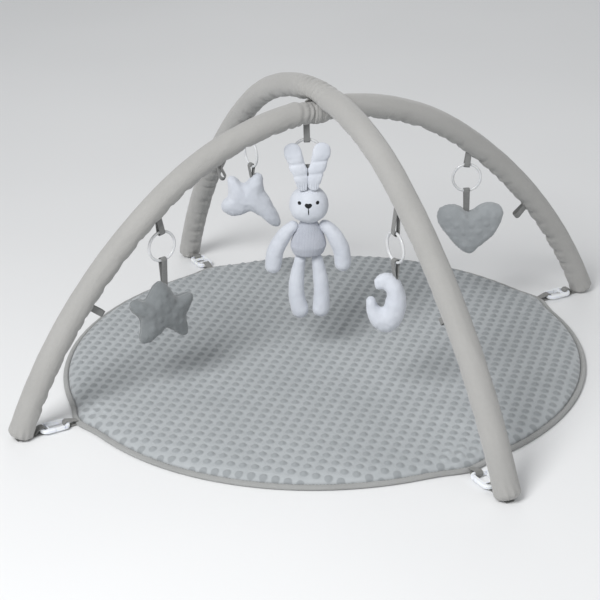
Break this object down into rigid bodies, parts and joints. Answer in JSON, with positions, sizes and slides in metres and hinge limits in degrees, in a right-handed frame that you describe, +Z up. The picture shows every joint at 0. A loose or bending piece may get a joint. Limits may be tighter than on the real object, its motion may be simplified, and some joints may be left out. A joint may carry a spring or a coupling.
{
  "type": "activity play gym",
  "caption": "Round padded play mat with crossing padded arches hooked to its edge, from which soft plush toys hang on rings for a baby to reach.",
  "frame": {"origin": "on the floor under the middle of the mat", "axes": "+Z up; +X along the lower arch towards its right foot; -Y towards the upper arch's front foot"},
  "size_m": [1.0778, 1.078, 0.4722],
  "materials": {
    "base_cloth": "plain woven polyester",
    "wadding": "loose polyester wadding",
    "dot_plush": "short plush with raised dots",
    "binding_tape": "folded bias tape, stitched",
    "grey_webbing": "ribbed woven tape",
    "toy_webbing": "ribbed woven tape",
    "sleeve_cloth": "smooth woven cloth, matt",
    "tube_foam": "soft foam",
    "joiner_metal": "drawn tube",
    "cap_rubber": "moulded, matt",
    "rod_plastic": "extruded rod",
    "hook_plastic": "moulded, semi-gloss",
    "ring_plastic": "moulded, glossy",
    "dark_grey_plush": "short velvety plush",
    "grey_plush": "short velvety plush",
    "white_plush": "short velvety plush",
    "dark_thread": "satin stitch embroidery",
    "white_knit": "ribbed knit plush"
  },
  "bodies": {
    "mat": {"mat_base_cloth": "base_cloth", "mat_padding": "wadding", "mat_plush_top": "dot_plush", "mat_edge_binding": "binding_tape", "mat_tabs": "grey_webbing"},
    "upper_arch": {"upper_sleeve": "sleeve_cloth", "upper_foam": "tube_foam", "upper_rod_back": "rod_plastic", "upper_rod_front": "rod_plastic", "upper_rod_joiner": "joiner_metal", "upper_rod_end_caps": "cap_rubber", "upper_foot_straps": "grey_webbing", "upper_toy_loops": "grey_webbing", "crossing_band": "sleeve_cloth"},
    "lower_arch": {"lower_sleeve": "sleeve_cloth", "lower_foam": "tube_foam", "lower_rod_left": "rod_plastic", "lower_rod_right": "rod_plastic", "lower_rod_joiner": "joiner_metal", "lower_rod_end_caps": "cap_rubber", "lower_foot_straps": "grey_webbing", "lower_toy_loops": "grey_webbing"},
    "hook_left": {"hook_left": "hook_plastic"},
    "hook_gate_left": {"hook_gate_left": "hook_plastic"},
    "hook_right": {"hook_right": "hook_plastic"},
    "hook_gate_right": {"hook_gate_right": "hook_plastic"},
    "hook_front": {"hook_front": "hook_plastic"},
    "hook_gate_front": {"hook_gate_front": "hook_plastic"},
    "hook_back": {"hook_back": "hook_plastic"},
    "hook_gate_back": {"hook_gate_back": "hook_plastic"},
    "star_ring": {"star_ring": "ring_plastic"},
    "star_toy": {"star_strap": "toy_webbing", "star_plush": "dark_grey_plush", "star_stuffing": "wadding"},
    "heart_ring": {"heart_ring": "ring_plastic"},
    "heart_toy": {"heart_strap": "toy_webbing", "heart_plush": "grey_plush", "heart_stuffing": "wadding"},
    "rabbit_ring": {"rabbit_ring": "ring_plastic"},
    "rabbit_toy": {"rabbit_strap": "toy_webbing", "rabbit_head": "white_knit", "rabbit_body": "white_knit", "rabbit_stuffing": "wadding", "rabbit_eyes": "dark_thread", "rabbit_nose_and_mouth": "dark_thread"},
    "white_star_ring": {"white_star_ring": "ring_plastic"},
    "white_star_toy": {"white_star_strap": "toy_webbing", "white_star_plush": "white_plush", "white_star_stuffing": "wadding"},
    "moon_ring": {"moon_ring": "ring_plastic"},
    "moon_toy": {"moon_strap": "toy_webbing", "moon_plush": "white_plush", "moon_stuffing": "wadding"},
    "rabbit_arm_left": {"rabbit_arm_left": "white_knit"},
    "rabbit_leg_left": {"rabbit_leg_left": "white_knit"},
    "rabbit_ear_left": {"rabbit_ear_left": "white_knit"},
    "rabbit_arm_right": {"rabbit_arm_right": "white_knit"},
    "rabbit_leg_right": {"rabbit_leg_right": "white_knit"},
    "rabbit_ear_right": {"rabbit_ear_right": "white_knit"}
  },
  "joints": [
    {"name": "arches_lift_off", "type": "slide", "parent": "mat", "child": "upper_arch", "axis": [0, 0, 1], "range_m": [0, 0.25], "deforming": ["mat_tabs"]},
    {"name": "arch_fold", "type": "hinge", "parent": "upper_arch", "child": "lower_arch", "pos_m": [0, 0, 0.44], "axis": [0, 0, 1], "range_deg": [-45, 45], "deforming": ["crossing_band"]},
    {"name": "hook_left_tilt", "type": "hinge", "parent": "lower_arch", "child": "hook_left", "pos_m": [-0.49, 0, 0.0061], "axis": [0, -1, 0], "range_deg": [0, 60]},
    {"name": "hook_gate_left_open", "type": "hinge", "parent": "hook_left", "child": "hook_gate_left", "pos_m": [-0.4695, -0.012, 0.0061], "axis": [0, 0, 1], "range_deg": [0, 22], "stiffness_Nm_per_rad": 0.02, "springref_deg": -2.86},
    {"name": "hook_right_tilt", "type": "hinge", "parent": "lower_arch", "child": "hook_right", "pos_m": [0.49, 0, 0.0061], "axis": [0, 1, 0], "range_deg": [0, 60]},
    {"name": "hook_gate_right_open", "type": "hinge", "parent": "hook_right", "child": "hook_gate_right", "pos_m": [0.4695, 0.012, 0.0061], "axis": [0, 0, 1], "range_deg": [0, 22], "stiffness_Nm_per_rad": 0.02, "springref_deg": -2.86},
    {"name": "hook_front_tilt", "type": "hinge", "parent": "upper_arch", "child": "hook_front", "pos_m": [0, -0.49, 0.0061], "axis": [1, 0, 0], "range_deg": [0, 60]},
    {"name": "hook_gate_front_open", "type": "hinge", "parent": "hook_front", "child": "hook_gate_front", "pos_m": [0.012, -0.4695, 0.0061], "axis": [0, 0, 1], "range_deg": [0, 22], "stiffness_Nm_per_rad": 0.02, "springref_deg": -2.86},
    {"name": "hook_back_tilt", "type": "hinge", "parent": "upper_arch", "child": "hook_back", "pos_m": [0, 0.49, 0.0061], "axis": [-1, 0, 0], "range_deg": [0, 60]},
    {"name": "hook_gate_back_open", "type": "hinge", "parent": "hook_back", "child": "hook_gate_back", "pos_m": [-0.012, 0.4695, 0.0061], "axis": [0, 0, 1], "range_deg": [0, 22], "stiffness_Nm_per_rad": 0.02, "springref_deg": -2.86},
    {"name": "star_ring_swing", "type": "hinge", "parent": "lower_arch", "child": "star_ring", "pos_m": [-0.273, 0, 0.282], "axis": [-0.9848, -0.1736, 0], "range_deg": [-45, 45]},
    {"name": "star_toy_swing", "type": "hinge", "parent": "star_ring", "child": "star_toy", "pos_m": [-0.273, 0, 0.236], "axis": [-0.9848, -0.1736, 0], "range_deg": [-45, 45]},
    {"name": "heart_ring_swing", "type": "hinge", "parent": "lower_arch", "child": "heart_ring", "pos_m": [0.2765, 0, 0.2835], "axis": [0.9063, -0.4226, 0], "range_deg": [-45, 45]},
    {"name": "heart_toy_swing", "type": "hinge", "parent": "heart_ring", "child": "heart_toy", "pos_m": [0.2765, 0, 0.2375], "axis": [0.9063, -0.4226, 0], "range_deg": [-45, 45]},
    {"name": "rabbit_ring_swing", "type": "hinge", "parent": "lower_arch", "child": "rabbit_ring", "pos_m": [-0.02, 0, 0.3815], "axis": [0.8854, -0.4648, 0], "range_deg": [-35, 35]},
    {"name": "rabbit_toy_swing", "type": "hinge", "parent": "rabbit_ring", "child": "rabbit_toy", "pos_m": [-0.02, 0, 0.3355], "axis": [0.8854, -0.4648, 0], "range_deg": [-5, 45]},
    {"name": "white_star_ring_swing", "type": "hinge", "parent": "upper_arch", "child": "white_star_ring", "pos_m": [0, 0.24, 0.309], "axis": [0, 1, 0], "range_deg": [-45, 45]},
    {"name": "white_star_toy_swing", "type": "hinge", "parent": "white_star_ring", "child": "white_star_toy", "pos_m": [0, 0.24, 0.263], "axis": [0, 1, 0], "range_deg": [-45, 45]},
    {"name": "moon_ring_swing", "type": "hinge", "parent": "upper_arch", "child": "moon_ring", "pos_m": [0, -0.228, 0.299], "axis": [0, -1, 0], "range_deg": [-45, 45]},
    {"name": "moon_toy_swing", "type": "hinge", "parent": "moon_ring", "child": "moon_toy", "pos_m": [0, -0.228, 0.253], "axis": [0, -1, 0], "range_deg": [-45, 45]},
    {"name": "rabbit_arm_left_raise", "type": "hinge", "parent": "rabbit_toy", "child": "rabbit_arm_left", "pos_m": [-0.04922, 0.01534, 0.231], "axis": [0.4648, 0.8854, 0], "range_deg": [-8, 70], "stiffness_Nm_per_rad": 0.03},
    {"name": "rabbit_leg_left_swing", "type": "hinge", "parent": "rabbit_toy", "child": "rabbit_leg_left", "pos_m": [-0.0324, 0.00651, 0.176], "axis": [-0.8854, 0.4648, 0], "range_deg": [-20, 60]},
    {"name": "rabbit_ear_left_flop", "type": "hinge", "parent": "rabbit_toy", "child": "rabbit_ear_left", "pos_m": [-0.03827, -0.00791, 0.308], "axis": [0.8854, -0.4648, 0], "range_deg": [-2, 60], "stiffness_Nm_per_rad": 0.03},
    {"name": "rabbit_arm_right_raise", "type": "hinge", "parent": "rabbit_toy", "child": "rabbit_arm_right", "pos_m": [0.00922, -0.01534, 0.231], "axis": [-0.4648, -0.8854, 0], "range_deg": [-8, 70], "stiffness_Nm_per_rad": 0.03},
    {"name": "rabbit_leg_right_swing", "type": "hinge", "parent": "rabbit_toy", "child": "rabbit_leg_right", "pos_m": [-0.00628, -0.0072, 0.176], "axis": [-0.8854, 0.4648, 0], "range_deg": [-20, 60]},
    {"name": "rabbit_ear_right_flop", "type": "hinge", "parent": "rabbit_toy", "child": "rabbit_ear_right", "pos_m": [-0.01614, -0.01953, 0.308], "axis": [0.8854, -0.4648, 0], "range_deg": [-2, 60], "stiffness_Nm_per_rad": 0.03}
  ]
}
